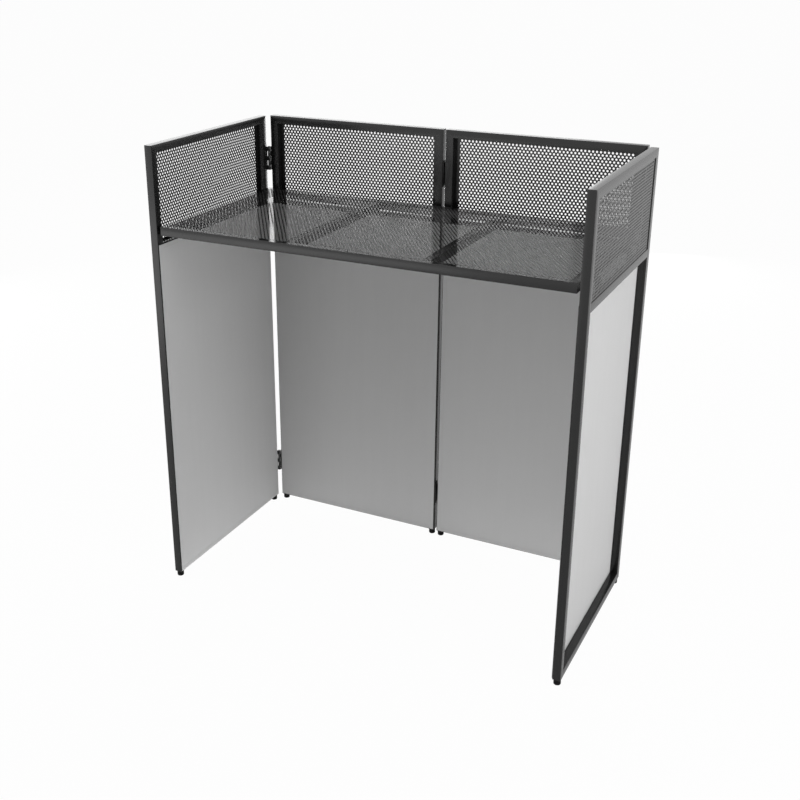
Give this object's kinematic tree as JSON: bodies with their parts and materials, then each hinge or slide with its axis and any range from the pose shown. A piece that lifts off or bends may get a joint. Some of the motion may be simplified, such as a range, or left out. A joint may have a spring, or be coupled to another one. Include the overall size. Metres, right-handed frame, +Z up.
{
  "type": "dj booth",
  "caption": "Folding DJ booth: hinged tube panels with perforated windows and stretched fabric scrims around a lift-off perforated table, on levelling feet.",
  "frame": {"origin": "on the floor, at the centre of the booth's footprint", "axes": "+X to the user's right, +Y away from the user towards the audience, +Z up"},
  "size_m": [1.106, 0.558, 1.1875],
  "materials": {
    "frame_coat": "satin black powder coat",
    "sheet_coat": "satin black powder coat",
    "table_sheet_coat": "gloss black powder coat",
    "scrim_fabric": "stretch knit",
    "hook_tape": "woven tape with hooks",
    "insert_plastic": "moulded",
    "foot_rubber": "moulded, matte",
    "hinge_coat": "black coated",
    "pin_steel": "blackened",
    "bracket_coat": "satin black powder coat"
  },
  "bodies": {
    "left_wing": {"left_wing_front_upright": "frame_coat", "left_wing_rear_upright": "frame_coat", "left_wing_top_rail": "frame_coat", "left_wing_mid_rail": "frame_coat", "left_wing_bottom_rail": "frame_coat", "left_wing_window_sheet": "sheet_coat", "left_wing_scrim": "scrim_fabric", "left_wing_hook_strips": "hook_tape", "left_wing_tube_inserts": "insert_plastic", "left_wing_hinge_leaves": "hinge_coat", "left_wing_table_brackets": "bracket_coat"},
    "left_wing_front_foot": {"left_wing_front_foot": "foot_rubber"},
    "left_wing_rear_foot": {"left_wing_rear_foot": "foot_rubber"},
    "back_left": {"back_left_outer_upright": "frame_coat", "back_left_centre_upright": "frame_coat", "back_left_top_rail": "frame_coat", "back_left_mid_rail": "frame_coat", "back_left_bottom_rail": "frame_coat", "back_left_window_sheet": "sheet_coat", "back_left_scrim": "scrim_fabric", "back_left_hook_strips": "hook_tape", "back_left_tube_inserts": "insert_plastic", "back_left_hinge_leaves": "hinge_coat", "left_corner_hinge_pins": "pin_steel", "centre_hinge_pins": "pin_steel"},
    "back_left_outer_foot": {"back_left_outer_foot": "foot_rubber"},
    "back_left_centre_foot": {"back_left_centre_foot": "foot_rubber"},
    "back_right": {"back_right_centre_upright": "frame_coat", "back_right_outer_upright": "frame_coat", "back_right_top_rail": "frame_coat", "back_right_mid_rail": "frame_coat", "back_right_bottom_rail": "frame_coat", "back_right_window_sheet": "sheet_coat", "back_right_scrim": "scrim_fabric", "back_right_hook_strips": "hook_tape", "back_right_tube_inserts": "insert_plastic", "back_right_hinge_leaves": "hinge_coat", "right_corner_hinge_pins": "pin_steel"},
    "back_right_centre_foot": {"back_right_centre_foot": "foot_rubber"},
    "back_right_outer_foot": {"back_right_outer_foot": "foot_rubber"},
    "right_wing": {"right_wing_rear_upright": "frame_coat", "right_wing_front_upright": "frame_coat", "right_wing_top_rail": "frame_coat", "right_wing_mid_rail": "frame_coat", "right_wing_bottom_rail": "frame_coat", "right_wing_window_sheet": "sheet_coat", "right_wing_scrim": "scrim_fabric", "right_wing_hook_strips": "hook_tape", "right_wing_tube_inserts": "insert_plastic", "right_wing_hinge_leaves": "hinge_coat", "right_wing_table_brackets": "bracket_coat"},
    "right_wing_rear_foot": {"right_wing_rear_foot": "foot_rubber"},
    "right_wing_front_foot": {"right_wing_front_foot": "foot_rubber"},
    "table": {"table_front_rail": "frame_coat", "table_back_rail": "frame_coat", "table_left_rail": "frame_coat", "table_right_rail": "frame_coat", "table_left_cross_member": "frame_coat", "table_right_cross_member": "frame_coat", "table_sheet": "table_sheet_coat"}
  },
  "joints": [
    {"name": "left_wing_fold", "type": "hinge", "parent": "back_left", "child": "left_wing", "pos_m": [-0.528, 0.245, 0.6015], "axis": [0, 0, -1], "range_deg": [0, 90]},
    {"name": "centre_fold", "type": "hinge", "parent": "back_left", "child": "back_right", "pos_m": [0, 0.275, 0.6015], "axis": [0, 0, 1], "range_deg": [0, 180]},
    {"name": "right_wing_fold", "type": "hinge", "parent": "back_right", "child": "right_wing", "pos_m": [0.528, 0.245, 0.6015], "axis": [0, 0, 1], "range_deg": [0, 90]},
    {"name": "table_lift", "type": "slide", "parent": "back_left", "child": "table", "axis": [0, 0, 1], "range_m": [0, 0.3]},
    {"name": "left_wing_front_foot_level", "type": "slide", "parent": "left_wing", "child": "left_wing_front_foot", "axis": [0, 0, -1], "range_m": [0, 0.01]},
    {"name": "left_wing_rear_foot_level", "type": "slide", "parent": "left_wing", "child": "left_wing_rear_foot", "axis": [0, 0, -1], "range_m": [0, 0.01]},
    {"name": "back_left_outer_foot_level", "type": "slide", "parent": "back_left", "child": "back_left_outer_foot", "axis": [0, 0, -1], "range_m": [0, 0.01]},
    {"name": "back_left_centre_foot_level", "type": "slide", "parent": "back_left", "child": "back_left_centre_foot", "axis": [0, 0, -1], "range_m": [0, 0.01]},
    {"name": "back_right_centre_foot_level", "type": "slide", "parent": "back_right", "child": "back_right_centre_foot", "axis": [0, 0, -1], "range_m": [0, 0.01]},
    {"name": "back_right_outer_foot_level", "type": "slide", "parent": "back_right", "child": "back_right_outer_foot", "axis": [0, 0, -1], "range_m": [0, 0.01]},
    {"name": "right_wing_rear_foot_level", "type": "slide", "parent": "right_wing", "child": "right_wing_rear_foot", "axis": [0, 0, -1], "range_m": [0, 0.01]},
    {"name": "right_wing_front_foot_level", "type": "slide", "parent": "right_wing", "child": "right_wing_front_foot", "axis": [0, 0, -1], "range_m": [0, 0.01]}
  ]
}
